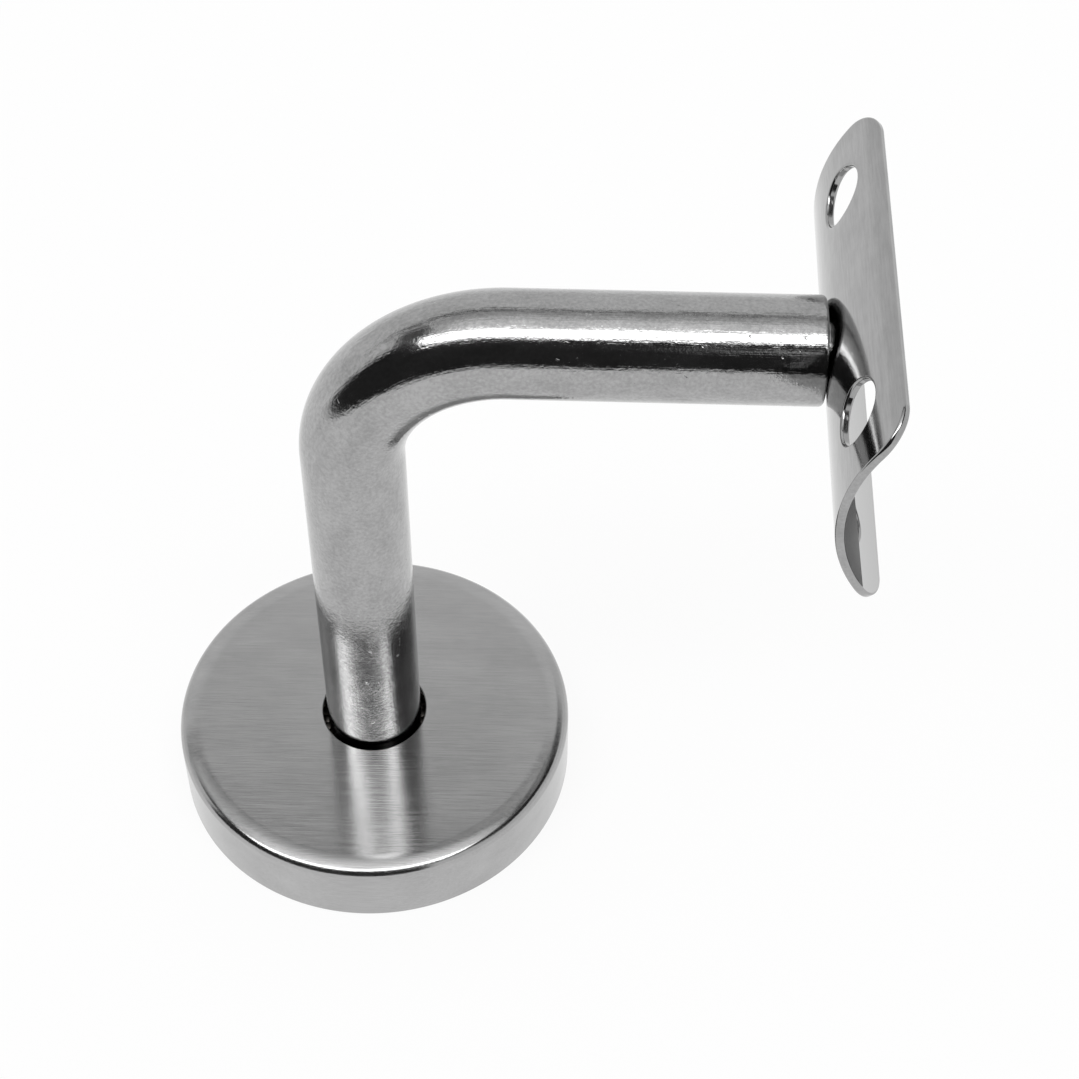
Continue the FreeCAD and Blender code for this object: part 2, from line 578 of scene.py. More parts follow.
def weld_bead_tree() -> bpy.types.NodeTree:
    """Tree that lays overlapping drops of metal round a circle.

    Returns:
        The tree, which takes nothing from its seed.
    """
    tree, given = new_tree("weld_bead", {
        "Ring radius": "NodeSocketFloat",
        "Drop size": "NodeSocketVector",
        "Drops": "NodeSocketInt",
        "Lean": "NodeSocketVector",
        "Finish": "NodeSocketMaterial",
    })
    ring = add_node(tree, "GeometryNodeCurvePrimitiveCircle", feeds={
        "Resolution": given.outputs["Drops"],
        "Radius": given.outputs["Ring radius"],
    })
    run = add_node(tree, "GeometryNodeInputTangent")
    facing = add_node(tree, "FunctionNodeAlignRotationToVector", {"axis": "Y"}, {
        "Vector": run.outputs["Tangent"],
    })
    lean = add_node(tree, "FunctionNodeRotateRotation", {"rotation_space": "LOCAL"}, {
        "Rotation": facing.outputs["Rotation"],
        "Rotate By": given.outputs["Lean"],
    })
    drop = add_node(tree, "GeometryNodeMeshUVSphere", feeds={"Segments": 24, "Rings": 12, "Radius": 1.0})
    laid = add_node(tree, "GeometryNodeInstanceOnPoints", feeds={
        "Points": ring.outputs["Curve"],
        "Instance": drop.outputs["Mesh"],
        "Rotation": lean.outputs["Rotation"],
        "Scale": given.outputs["Drop size"],
    })
    close_tree(tree, laid.outputs["Instances"], given.outputs["Finish"])
    return tree


def grow(
    name: str, tree: bpy.types.NodeTree, seed: bpy.types.Mesh, values: Mapping[str, Any]
) -> bpy.types.Object:
    """Runs a Geometry Nodes tree on a seed and keeps the result as a plain mesh.

    Args:
        name: The piece's name.
        tree: The tree.
        seed: Mesh that the tree starts from.
        values: What each named input gets.

    Returns:
        The new object, with no modifier on it.
    """
    source = link_object(bpy.data.objects.new(f"{name}_seed", seed))
    growth = source.modifiers.new("growth", "NODES")
    growth.node_group = tree
    for item in tree.interface.items_tree:
        if item.item_type == "SOCKET" and item.in_out == "INPUT" and item.name in values:
            growth[item.identifier] = values[item.name]
    graph = bpy.context.evaluated_depsgraph_get()
    mesh = bpy.data.meshes.new_from_object(source.evaluated_get(graph))
    mesh.name = name
    bpy.data.objects.remove(source)
    return link_object(bpy.data.objects.new(name, mesh))


# ---------------------------------------------------------------- finishes


def start_material(name: str) -> tuple[bpy.types.Material, bpy.types.NodeTree]:
    """New material with an empty node tree.

    Args:
        name: The finish's name.

    Returns:
        The material and its tree.
    """
    material = bpy.data.materials.new(name)
    material.use_nodes = True
    material.node_tree.nodes.clear()
    return material, material.node_tree


def noise(
    tree: bpy.types.NodeTree, place: bpy.types.NodeSocket, cell_mm: Sequence[float], detail: float
) -> bpy.types.NodeSocket:
    """Noise between 0 and 1.

    Args:
        tree: The tree that takes the nodes.
        place: Where the noise is read.
        cell_mm: Size of one blotch along each axis.
        detail: How many finer layers are laid over it.

    Returns:
        The noise.
    """
    scale = tuple(1 / (size * MM) for size in cell_mm)
    mapped = add_node(tree, "ShaderNodeMapping", feeds={"Vector": place, "Scale": scale})
    return add_node(tree, "ShaderNodeTexNoise", feeds={
        "Vector": mapped.outputs["Vector"], "Scale": 1.0, "Detail": detail, "Roughness": LAYER_SHARE,
    }).outputs["Fac"]


def span(value: bpy.types.NodeSocket, source: Span, target: Span) -> dict[str, Any]:
    """Feeds of a Map Range node that carries a value from one range to another."""
    return {
        "Value": value,
        "From Min": source[0], "From Max": source[1],
        "To Min": target[0], "To Max": target[1],
    }


def mottled(
    tree: bpy.types.NodeTree, coarse: bpy.types.NodeSocket, fine: bpy.types.NodeSocket, dark: str, light: str
) -> bpy.types.NodeSocket:
    """Colour between two hex values, by the mean of a coarse and a fine noise.

    Args:
        tree: The tree that takes the nodes.
        coarse: The coarse noise.
        fine: The fine noise.
        dark: Colour where both are low.
        light: Colour where both are high.

    Returns:
        The colour.
    """
    mean = add_node(tree, "ShaderNodeMix", {"data_type": "FLOAT"}, {"Factor": 0.5, 2: coarse, 3: fine})
    amount = add_node(tree, "ShaderNodeMapRange", feeds=span(mean.outputs[0], MOTTLE_SPREAD, (0.0, 1.0)))
    return add_node(tree, "ShaderNodeMix", {"data_type": "RGBA"}, {
        "Factor": amount.outputs["Result"], 6: linear(dark), 7: linear(light),
    }).outputs[2]


def relief(
    tree: bpy.types.NodeTree, heights: Sequence[bpy.types.NodeSocket], depths_mm: Sequence[float]
) -> bpy.types.NodeSocket:
    """Normal of a face that carries layers of relief.

    Args:
        tree: The tree that takes the nodes.
        heights: Height of each layer, from 0 to 1, lowest layer first.
        depths_mm: Depth of each layer.

    Returns:
        The normal.
    """
    under: dict[str, bpy.types.NodeSocket] = {}
    for height, depth_mm in zip(heights, depths_mm):
        feeds = {"Height": height, "Strength": 1.0, "Distance": depth_mm * MM, **under}
        under = {"Normal": add_node(tree, "ShaderNodeBump", feeds=feeds).outputs["Normal"]}
    return under["Normal"]


def end_metal(tree: bpy.types.NodeTree, feeds: Mapping[str, Any]) -> None:
    """Ends a metal's tree with its shader, which gets the feeds."""
    shader = add_node(tree, "ShaderNodeBsdfPrincipled", feeds={"Metallic": 1.0, **feeds})
    add_node(tree, "ShaderNodeOutputMaterial", feeds={"Surface": shader.outputs["BSDF"]})


@dataclass(frozen=True)
class PolishedBar:
    """Cold-drawn austenitic bar, belt-polished along its length after bending.

    It gives sharp, dark reflections, broken by fine lengthwise marks, speckle and shallow pits.
    """

    light: str = "#aeaeae"
    dark: str = "#979797"
    roughness: Span = (0.08, 0.16)
    marks_mm: Cell = (0.22, 0.22, 6.0)
    speckle_mm: Cell = (0.42, 0.42, 0.42)
    clouds_mm: Cell = (2.3810, 2.3810, 5.0)
    waves_mm: Cell = (2.3810, 2.3810, 5.2632)
    pits_mm: Cell = (0.9, 0.9, 0.9)
    pit_share: Span = (0.20, 0.27)
    depths_mm: tuple[float, ...] = (0.014, 0.018, 0.034, 0.03)

    def build(self) -> bpy.types.Material:
        """Makes the material. It reads the attribute bar_flow, the place on the straightened bar.

        Returns:
            The material.
        """
        material, tree = start_material("polished_stainless_bar")
        flow = add_node(tree, "ShaderNodeAttribute", {"attribute_name": "bar_flow"}).outputs["Vector"]
        marks = noise(tree, flow, self.marks_mm, 3.0)
        speckle = noise(tree, flow, self.speckle_mm, 2.0)
        clouds = noise(tree, flow, self.clouds_mm, 5.0)
        waves = noise(tree, flow, self.waves_mm, 2.0)
        pits = add_node(tree, "ShaderNodeMapRange", feeds=span(
            noise(tree, flow, self.pits_mm, 1.0), self.pit_share, (0.0, 1.0),
        )).outputs["Result"]
        polish = add_node(tree, "ShaderNodeMapRange", feeds=span(clouds, CLOUD_SPREAD, self.roughness))
        end_metal(tree, {
            "Base Color": mottled(tree, clouds, speckle, self.dark, self.light),
            "Roughness": polish.outputs["Result"],
            "Normal": relief(tree, (marks, speckle, waves, pits), self.depths_mm),
        })
        return material


@dataclass(frozen=True)
class BrushedCap:
    """Drawn austenitic sheet, brushed in straight lines along X.

    It gives a soft silvery face whose reflections are drawn out across the brush lines.
    """

    light: str = "#b2b2b2"
    dark: str = "#a4a4a4"
    roughness: Span = (0.11, 0.19)
    brush_mm: Cell = (5.0, 0.16, 0.16)
    clouds_mm: Cell = (11.1111, 5.5556, 5.5556)
    anisotropy: float = 0.85
    depths_mm: tuple[float, ...] = (0.008,)

    def build(self) -> bpy.types.Material:
        """Makes the material. Its tangent comes from the piece's UV map, whose U runs across the lines.

        Returns:
            The material.
        """
        material, tree = start_material("brushed_stainless_cap")
        place = add_node(tree, "ShaderNodeTexCoord").outputs["Object"]
        lines = noise(tree, place, self.brush_mm, 4.0)
        clouds = noise(tree, place, self.clouds_mm, 3.0)
        tangent = add_node(tree, "ShaderNodeTangent", {"direction_type": "UV_MAP", "uv_map": "brush"})
        brushed = add_node(tree, "ShaderNodeMapRange", feeds=span(lines, NOISE_SPREAD, self.roughness))
        end_metal(tree, {
            "Base Color": mottled(tree, clouds, lines, self.dark, self.light),
            "Roughness": brushed.outputs["Result"],
            "Anisotropic": self.anisotropy,
            "Tangent": tangent.outputs["Tangent"],
            "Normal": relief(tree, (lines,), self.depths_mm),
        })
        return material


@dataclass(frozen=True)
class SatinSheet:
    """Rolled austenitic sheet, polished after pressing, but not on the side that the rail lies in.

    It gives fairly sharp reflections with a faint orange-peel waviness, and a duller hollow side, whose
    lighter colour is a painted highlight that lifts a dark patch in its reflection.
    """

    light: str = "#a8a8a8"
    dark: str = "#989898"
    # seat: lighter colour of the rail's side, a painted highlight over a dark patch in its reflection.
    seat: str = "#bebebe"
    roughness: Span = (0.07, 0.14)
    seat_roughness: float = 0.25
    clouds_mm: Cell = (3.8462, 5.0, 3.8462)
    waves_mm: Cell = (3.0303, 4.1667, 3.0303)
    marks_mm: Cell = (0.3125, 3.8462, 0.3125)
    depths_mm: tuple[float, ...] = (0.008, 0.0016)
    flat_height: float = 0.5

    def build(self) -> bpy.types.Material:
        """Makes the material. It reads the attribute rail_side, which is 1 on the rail's side.

        Returns:
            The material.
        """
        material, tree = start_material("satin_stainless_sheet")
        place = add_node(tree, "ShaderNodeTexCoord").outputs["Object"]
        clouds = noise(tree, place, self.clouds_mm, 5.0)
        waves = noise(tree, place, self.waves_mm, 2.0)
        marks = noise(tree, place, self.marks_mm, 3.0)
        seat = add_node(tree, "ShaderNodeAttribute", {"attribute_name": "rail_side"}).outputs["Fac"]
        polish = add_node(tree, "ShaderNodeMapRange", feeds=span(clouds, CLOUD_SPREAD, self.roughness))
        # A flat height on the rail's side: relief would turn black there, where it is seen edge-on.
        pairs = (
            (waves, self.flat_height),
            (marks, self.flat_height),
            (polish.outputs["Result"], self.seat_roughness),
        )
        wavy, marked, dull = (
            add_node(tree, "ShaderNodeMix", {"data_type": "FLOAT"}, {
                "Factor": seat, 2: usual, 3: seated,
            }).outputs[0]
            for usual, seated in pairs
        )
        # The rail's side takes the lighter seat colour: painted light there.
        colour = add_node(tree, "ShaderNodeMix", {"data_type": "RGBA"}, {
            "Factor": seat, 6: mottled(tree, clouds, marks, self.dark, self.light), 7: linear(self.seat),
        })
        end_metal(tree, {
            "Base Color": colour.outputs[2],
            "Roughness": dull,
            "Normal": relief(tree, (wavy, marked), self.depths_mm),
        })
        return material


@dataclass(frozen=True)
class TurnedDisc:
    """Austenitic plate faced on a lathe. It gives a soft sheen with fine rings about the centre."""

    light: str = "#a8a8a6"
    dark: str = "#8f8f8d"
    roughness: Span = (0.26, 0.38)
    feed_mm: float = 0.25
    clouds_mm: Cell = (7.1429, 7.1429, 7.1429)
    waves_per_unit: float = 20.0
    distortion: float = 0.6
    depths_mm: tuple[float, ...] = (0.004,)

    def build(self) -> bpy.types.Material:
        """Makes the material. A Wave texture of scale 1 has waves_per_unit rings to the metre.

        Returns:
            The material.
        """
        material, tree = start_material("turned_stainless_plate")
        place = add_node(tree, "ShaderNodeTexCoord").outputs["Object"]
        parts = add_node(tree, "ShaderNodeSeparateXYZ", feeds={"Vector": place})
        flat = add_node(tree, "ShaderNodeCombineXYZ", feeds={
            "X": parts.outputs["X"], "Y": parts.outputs["Y"],
        })
        rings = add_node(tree, "ShaderNodeTexWave", {"wave_type": "RINGS", "rings_direction": "Z"}, {
            "Vector": flat.outputs["Vector"],
            "Scale": 1 / (self.feed_mm * MM) / self.waves_per_unit,
            "Distortion": self.distortion,
        })
        clouds = noise(tree, place, self.clouds_mm, 3.0)
        colour = add_node(tree, "ShaderNodeMix", {"data_type": "RGBA"}, {
            "Factor": clouds, 6: linear(self.dark), 7: linear(self.light),
        })
        sheen = add_node(tree, "ShaderNodeMapRange", feeds=span(clouds, NOISE_SPREAD, self.roughness))
        end_metal(tree, {
            "Base Color": colour.outputs[2],
            "Roughness": sheen.outputs["Result"],
            "Normal": relief(tree, (rings.outputs["Fac"],), self.depths_mm),
        })
        return material


@dataclass(frozen=True)
class WeldMetal:
    """Arc-welded austenitic filler.

    It is duller than the bar and gives a mottled skin, with a thin brownish oxide in its hollows. Its default
    colours are darkened further as painted shade, so that the foot bead reads black in the shadowed gap round
    the leg.
    """

    name: str = "weld_metal_painted_shade"
    # Default dark and light colours are painted shade: kept very dark so the bead seen in the gap round the
    # leg stands in for that gap's shadow.
    light: str = "#605d5a"
    dark: str = "#35322f"
    roughness: Span = (0.28, 0.46)
    oxide_mm: Cell = (2.3810, 2.3810, 2.3810)
    depths_mm: tuple[float, ...] = (0.02,)

    def build(self) -> bpy.types.Material:
        """Makes the material.

        Returns:
            The material.
        """
        material, tree = start_material(self.name)
        place = add_node(tree, "ShaderNodeTexCoord").outputs["Object"]
        oxide = noise(tree, place, self.oxide_mm, 4.0)
        colour = add_node(tree, "ShaderNodeMix", {"data_type": "RGBA"}, {
            "Factor": oxide, 6: linear(self.dark), 7: linear(self.light),
        })
        skin = add_node(tree, "ShaderNodeMapRange", feeds=span(oxide, NOISE_SPREAD, self.roughness))
        end_metal(tree, {
            "Base Color": colour.outputs[2],
            "Roughness": skin.outputs["Result"],
            "Normal": relief(tree, (oxide,), self.depths_mm),
        })
        return material


# ---------------------------------------------------------------- sub-assemblies


@dataclass(frozen=True)
class Arm:
    """Solid round bar with one bend, a chamfered shoulder and a spigot."""

    radius: float
    standoff: float
    reach: float
    bend_radius: float = 17.9 * MM
    chamfer: float = 0.5 * MM
    spigot_radius: float = 3.5 * MM
    spigot_length: float = 0.5 * MM
    round_steps: int = 128
    bend_steps: int = 72
    sharp_angle: float = 24.0

    @classmethod
    def from_frame(cls) -> "Arm":
        """Takes the bar's radius, standoff and reach from its solid.

        Returns:
            The arm, with its driving sizes.
        """
        low, high = node_size(Node.ARM)
        radius = (high.y - low.y) / 2
        return cls(radius=radius, standoff=high.z - radius, reach=high.x - cls.spigot_length)

    def build(self, finish: bpy.types.Material) -> bpy.types.Object:
        """Makes the bar.

        Args:
            finish: Its material.

        Returns:
            The bar, as one mesh.
        """
        seed = bpy.data.meshes.new("arm_path")
        corners = [(0, 0, 0), (0, 0, self.standoff), (self.reach, 0, self.standoff)]
        seed.from_pydata(corners, [(0, 1), (1, 2)], [])
        piece = grow("arm_bar", bent_bar_tree(), seed, {
            "Bar radius": self.radius,
            "Bend radius": self.bend_radius,
            "Bend steps": self.bend_steps,
            "Round steps": self.round_steps,
            "Finish": finish,
        })
        self.dress_end(piece.data)
        self.mark_flow(piece.data)
        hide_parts(Node.ARM.value)
        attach(piece, Body.BRACKET.value)
        return piece

    def dress_end(self, mesh: bpy.types.Mesh) -> None:
        """Cuts the chamfer and the spigot on the rail end.

        Args:
            mesh: The bar's mesh.
        """
        work = bmesh.new()
        work.from_mesh(mesh)
        shoulder = max(work.faces, key=lambda face: face.calc_center_median().x)
        bmesh.ops.bevel(
            work, geom=list(shoulder.edges), offset=self.chamfer, segments=3, profile=0.5, affect="EDGES"
        )
        work.faces.ensure_lookup_table()
        shoulder = max(work.faces, key=lambda face: (round(face.calc_center_median().x, 7), face.calc_area()))
        inset = self.radius - self.chamfer - self.spigot_radius
        bmesh.ops.inset_region(work, faces=[shoulder], thickness=inset, use_even_offset=True)
        spigot = bmesh.ops.extrude_discrete_faces(work, faces=[shoulder])["faces"][0]
        bmesh.ops.translate(work, verts=spigot.verts, vec=(self.spigot_length, 0, 0))
        bmesh.ops.recalc_face_normals(work, faces=work.faces)
        work.to_mesh(mesh)
        work.free()
        mesh.set_sharp_from_angle(angle=math.radians(self.sharp_angle))

    def mark_flow(self, mesh: bpy.types.Mesh) -> None:
        """Stores each point's place on the straightened bar, for marks that follow the bar.

        Args:
            mesh: The bar's mesh.
        """
        flow = mesh.attributes.new("bar_flow", "FLOAT_VECTOR", "POINT")
        for number, vertex in enumerate(mesh.vertices):
            flow.data[number].vector = self.straightened(vertex.co)

    def straightened(self, place: Vector) -> Vector:
        """Place of a point once the bend is taken out of the bar.

        Args:
            place: Point of the bar, in metres.

        Returns:
            Its place on a bar that runs along Z.
        """
        bend_start = self.standoff - self.bend_radius
        if place.z <= bend_start and place.x < self.bend_radius:
            return Vector((place.x, place.y, place.z))
        bent = math.pi / 2 * self.bend_radius
        if place.x >= self.bend_radius:
            return Vector((self.standoff - place.z, place.y, bend_start + bent + place.x - self.bend_radius))
        out, up = self.bend_radius - place.x, place.z - bend_start
        turn = math.atan2(up, out)
        return Vector((self.bend_radius - math.hypot(out, up), place.y, bend_start + turn * self.bend_radius))


@dataclass(frozen=True)
class CoverRose:
    """Drawn cap with a rounded edge and a hole for the arm."""

    radius: float
    height: float
    sheet: float = 0.8 * MM
    edge_radius: float = 1.6 * MM
    crown_radius: float = 5.5 * MM
    crown_turn: float = 21.0
    hole_radius: float = 6.6 * MM
    lip: float = 0.18 * MM
    crown_steps: int = 10
    knee_steps: int = 14
    inner_steps: int = 8

    @classmethod
    def from_frame(cls) -> "CoverRose":
        """Takes the cap's radius and height from its solid."""
        low, high = node_size(Node.COVER)
        return cls(radius=(high.y - low.y) / 2, height=high.z)

    def build(self, finish: bpy.types.Material) -> bpy.types.Object:
        """Makes the cap.

        Args:
            finish: Its material.

        Returns:
            The cap, as one mesh.
        """
        piece = lathe("cover_cap", self.section(), finish, steps=256)
        self.lay_brush_map(piece.data)
        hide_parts(Node.COVER.value)
        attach(piece, Body.COVER.value)
        return piece

    def section(self) -> list[Stretch]:
        """Closed section of the wall, from the hole over the top and down the skirt.

        Returns:
            The stretches, in (radius, height).
        """
        inner = self.edge_radius - self.sheet
        skirt, roof = self.radius - self.sheet, self.height - self.sheet
        turn = math.radians(self.crown_turn)
        tight = (self.edge_radius - self.crown_radius * (1 - math.cos(turn))) / math.cos(turn)
        knee = (self.radius - tight, self.height - self.edge_radius)
        crown = (knee[0] - (self.crown_radius - tight) * math.sin(turn), self.height - self.crown_radius)
        return [
            rounded((self.hole_radius + self.lip, self.height - self.lip), self.lip, 180, 90, EDGE_STEPS),
            straight((self.hole_radius + self.lip, self.height), (crown[0], self.height)),
            rounded(crown, self.crown_radius, 90, 90 - self.crown_turn, self.crown_steps),
            rounded(knee, tight, 90 - self.crown_turn, 0, self.knee_steps),
            straight((self.radius, knee[1]), (self.radius, self.lip)),
            rounded((self.radius - self.lip, self.lip), self.lip, 0, -90, EDGE_STEPS),
            straight((self.radius - self.lip, 0), (skirt, 0)),
            straight((skirt, 0), (skirt, roof - inner)),
            rounded((skirt - inner, roof - inner), inner, 0, 90, self.inner_steps, out=-1),
            straight((skirt - inner, roof), (self.hole_radius, roof)),
            straight((self.hole_radius, roof), (self.hole_radius, self.height - self.lip)),
        ]

    def lay_brush_map(self, mesh: bpy.types.Mesh) -> None:
        """Lays a UV map whose U runs across the brush lines: along Y on top, and round the skirt.

        Args:
            mesh: The cap's mesh.
        """
        layer = mesh.uv_layers.new(name="brush")
        for polygon in mesh.polygons:
            level = abs(polygon.normal.z) > 0.5
            for loop in polygon.loop_indices:
                place = mesh.vertices[mesh.loops[loop].vertex_index].co
                if level:
                    layer.data[loop].uv = (place.y / self.radius, -place.x / self.radius)
                else:
                    turn = math.atan2(polygon.center.y, polygon.center.x)
                    across = Vector((-math.sin(turn), math.cos(turn), 0)).dot(place - polygon.center)
                    layer.data[loop].uv = (across / self.radius, place.z / self.radius)


@dataclass(frozen=True)
class SaddlePlate:
    """Rounded rectangle of sheet, rolled to the rail and drilled."""

    apex: float
    height: float
    half_length: float
    outer_radius: float = 20.35 * MM
    sheet: float = 1.0 * MM
    half_width: float = 15.3 * MM
    corner: float = 4.2 * MM
    back_break: float = 0.36 * MM
    seat_break: float = 0.24 * MM
    hole_radius: float = 3.5 * MM
    hole_break: float = 0.3 * MM
    hole_reach: Span = (16.0 * MM, 8.0 * MM)
    spigot_radius: float = 3.5 * MM
    spigot_break: float = 0.02 * MM
    near: float = 0.01 * MM
    grid: float = 0.6 * MM

    @classmethod
    def from_frame(cls) -> "SaddlePlate":
        """Takes the plate's apex, height and length from its solid."""
        low, high = node_size(Node.SADDLE)
        return cls(apex=low.x, height=(low.z + high.z) / 2, half_length=(high.y - low.y) / 2)

    def build(self, finish: bpy.types.Material) -> bpy.types.Object:
        """Makes the plate.

        Args:
            finish: Its material.

        Returns:
            The plate, as one mesh.
        """
        along, across = self.hole_reach
        centres = [(side * along, turn * across) for side in (-1, 1) for turn in (-1, 1)]
        blank = RoundedRectangle(self.half_length, self.half_width, self.corner)
        drilled = broken_edge(self.sheet, self.hole_break, self.hole_break)
        edges = [CutEdge(blank, broken_edge(self.sheet, self.back_break, self.seat_break))]
        edges += [CutEdge(RoundHole(centre, self.hole_radius), drilled) for centre in centres]
        spigot_hole = RoundHole((0.0, 0.0), self.spigot_radius)
        edges.append(CutEdge(spigot_hole, broken_edge(self.sheet, self.spigot_break, self.spigot_break)))
        sheet = CutSheet(tuple(edges), self.grid, self.bend, self.axes)
        piece = sheet.build("saddle_sheet", finish)
        self.mark_rail_side(piece.data)
        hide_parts(Node.SADDLE.value)
        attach(piece, Body.BRACKET.value)
        return piece

    def mark_rail_side(self, mesh: bpy.types.Mesh) -> None:
        """Stores 1 on the points of the face that the rail lies in, and 0 elsewhere.

        Args:
            mesh: The plate's mesh.
        """
        side = mesh.attributes.new("rail_side", "FLOAT", "POINT")
        for number, vertex in enumerate(mesh.vertices):
            off = math.hypot(self.apex + self.outer_radius - vertex.co.x, vertex.co.z - self.height)
            side.data[number].value = float(off < self.outer_radius - self.sheet + self.near)

    def bend(self, flat: Vector, depth: float) -> Vector:
        """Place of a point of the flat blank once it is rolled.

        Args:
            flat: Place in the blank, along the rail and across it.
            depth: Depth under the back face.

        Returns:
            The place in the bracket, in metres.
        """
        turn = flat.y / self.outer_radius
        radius = self.outer_radius - depth
        axis_x = self.apex + self.outer_radius
        return Vector((axis_x - radius * math.cos(turn), flat.x, self.height + radius * math.sin(turn)))

    def axes(self, flat: Vector) -> tuple[Vector, Vector, Vector]:
        """Directions along the rail, round the curve and out of the back at a point of the blank.

        Args:
            flat: Place in the blank, along the rail and across it.

        Returns:
            The three directions, of length 1.
        """
        turn = flat.y / self.outer_radius
        back = Vector((-math.cos(turn), 0, math.sin(turn)))
        return Vector((0, 1, 0)), Vector((math.sin(turn), 0, math.cos(turn))), back


@dataclass(frozen=True)
class WallFlange:
    """Turned disc with a bore for the arm and three countersunk holes."""

    radius: float
    thickness: float
    bore_radius: float
    edge_chamfer: float = 0.6 * MM
    screw_circle: float = 16.5 * MM
    screw_radius: float = 2.6 * MM
    sink_radius: float = 4.7 * MM
    screws: int = 3
    first_screw: float = 60.0
    bore_fit: float = 0.05 * MM
    grid: float = 1.4 * MM

    @classmethod
    def from_frame(cls, arm: Arm) -> "WallFlange":
        """Takes the disc's radius and thickness from its solid."""
        low, high = node_size(Node.FLANGE)
        return cls(radius=(high.y - low.y) / 2, thickness=high.z, bore_radius=arm.radius + cls.bore_fit)

    def build(self, finish: bpy.types.Material) -> bpy.types.Object:
        """Makes the disc.

        Args:
            finish: Its material.

        Returns:
            The disc, as one mesh.
        """
        edges = [
            CutEdge(RoundBlank(self.radius), self.chamfered(self.edge_chamfer)),
            CutEdge(RoundHole((0.0, 0.0), self.bore_radius), self.chamfered(self.bore_fit)),
        ]
        for number in range(self.screws):
            turn = math.radians(self.first_screw + 360 * number / self.screws)
            centre = (self.screw_circle * math.cos(turn), self.screw_circle * math.sin(turn))
            sink = self.chamfered(self.sink_radius - self.screw_radius)
            edges.append(CutEdge(RoundHole(centre, self.screw_radius), sink))
        sheet = CutSheet(tuple(edges), self.grid, self.lay, lambda flat: tuple(Matrix.Identity(3)))
        piece = sheet.build("flange_disc", finish)
        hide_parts(Node.FLANGE.value)
        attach(piece, Body.BRACKET.value)
        return piece

    def lay(self, flat: Vector, depth: float) -> Vector:
        """Place of a point of the disc, which lies on the wall."""
        return Vector((flat.x, flat.y, self.thickness - depth))

    def chamfered(self, leg: float) -> tuple[Stretch, ...]:
        """Section of an edge with a 45 degree chamfer at the top face."""
        slope = Vector((-1, -1)).normalized()
        return (
            Stretch((Vector((leg, 0)), Vector((0, leg))), (slope, slope)),
            Stretch((Vector((0, leg)), Vector((0, self.thickness))), (Vector((-1, 0)),) * 2),
        )


@dataclass(frozen=True)
class FootWeld:
    """Fillet bead between the arm and the flange, laid as overlapping drops."""

    arm_radius: float
    base: float
    leg: float
    drops: int = 34
    seat_share: float = 0.12
    drop_share: Cell = (0.80, 0.48, 0.80)
    lean: float = 28.0

    @classmethod
    def from_frame(cls, arm: Arm) -> "FootWeld":
        """Takes the bead's seat and leg from its solid."""
        low, high = node_size(Node.FOOT_WELD)
        return cls(arm_radius=arm.radius, base=low.z, leg=high.z - low.z)

    def build(self, finish: bpy.types.Material) -> bpy.types.Object:
        """Makes the bead.

        Args:
            finish: Its material.

        Returns:
            The bead, as one mesh.
        """
        seed = bpy.data.meshes.new("bead_seed")
        piece = grow("foot_bead", weld_bead_tree(), seed, {
            "Ring radius": self.arm_radius + self.seat_share * self.leg,
            "Drop size": tuple(share * self.leg for share in self.drop_share),
            "Drops": self.drops,
            "Lean": (math.radians(self.lean), 0.0, 0.0),
            "Finish": finish,
        })
        piece.data.transform(Matrix.Translation((0, 0, self.base + self.seat_share * self.leg)))
        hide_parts(Node.FOOT_WELD.value)
        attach(piece, Body.BRACKET.value)
        return piece


def dress_saddle_weld(finish: bpy.types.Material) -> bpy.types.Object:
    """Gives the flush plug weld its finish; its solid already has the right shape.

    Args:
        finish: Its material.

    Returns:
        The solid itself.
    """
    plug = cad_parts[Node.SADDLE_WELD.value]
    plug.data.materials.clear()
    plug.data.materials.append(finish)
    return plug


# ---------------------------------------------------------------- studio


@dataclass(frozen=True)
class Camera:
    """Where the bracket is seen from, about its wall face."""

    azimuth: float = 1.542
    elevation: float = 50.165
    roll: float = 0.221
    distance: float = 315.26 * MM
    aim_right: float = 21.30 * MM
    aim_up: float = 27.71 * MM
    lens_mm: float = 79.71
    sensor_mm: float = 36.0
    nearest: float = 0.01

    def build(self) -> bpy.types.Object:
        """Makes the camera the scene's own.

        Returns:
            The camera.
        """
        turn, tilt, roll = (math.radians(v) for v in (self.azimuth, self.elevation, self.roll))
        ahead = Vector((-math.sin(turn) * math.cos(tilt), math.cos(turn) * math.cos(tilt), -math.sin(tilt)))
        level = Vector((math.cos(turn), math.sin(turn), 0))
        upright = level.cross(ahead)
        right = level * math.cos(roll) + upright * math.sin(roll)
        up = upright * math.cos(roll) - level * math.sin(roll)
        data = bpy.data.cameras.new("camera")
        data.sensor_width = self.sensor_mm
        data.lens = self.lens_mm
        data.clip_start = self.nearest
        camera = link_object(bpy.data.objects.new("camera", data))
        place = right * self.aim_right + up * self.aim_up - ahead * self.distance
        camera.matrix_world = Matrix.Translation(place) @ Matrix((right, up, -ahead)).transposed().to_4x4()
        bpy.context.scene.camera = camera
        return camera


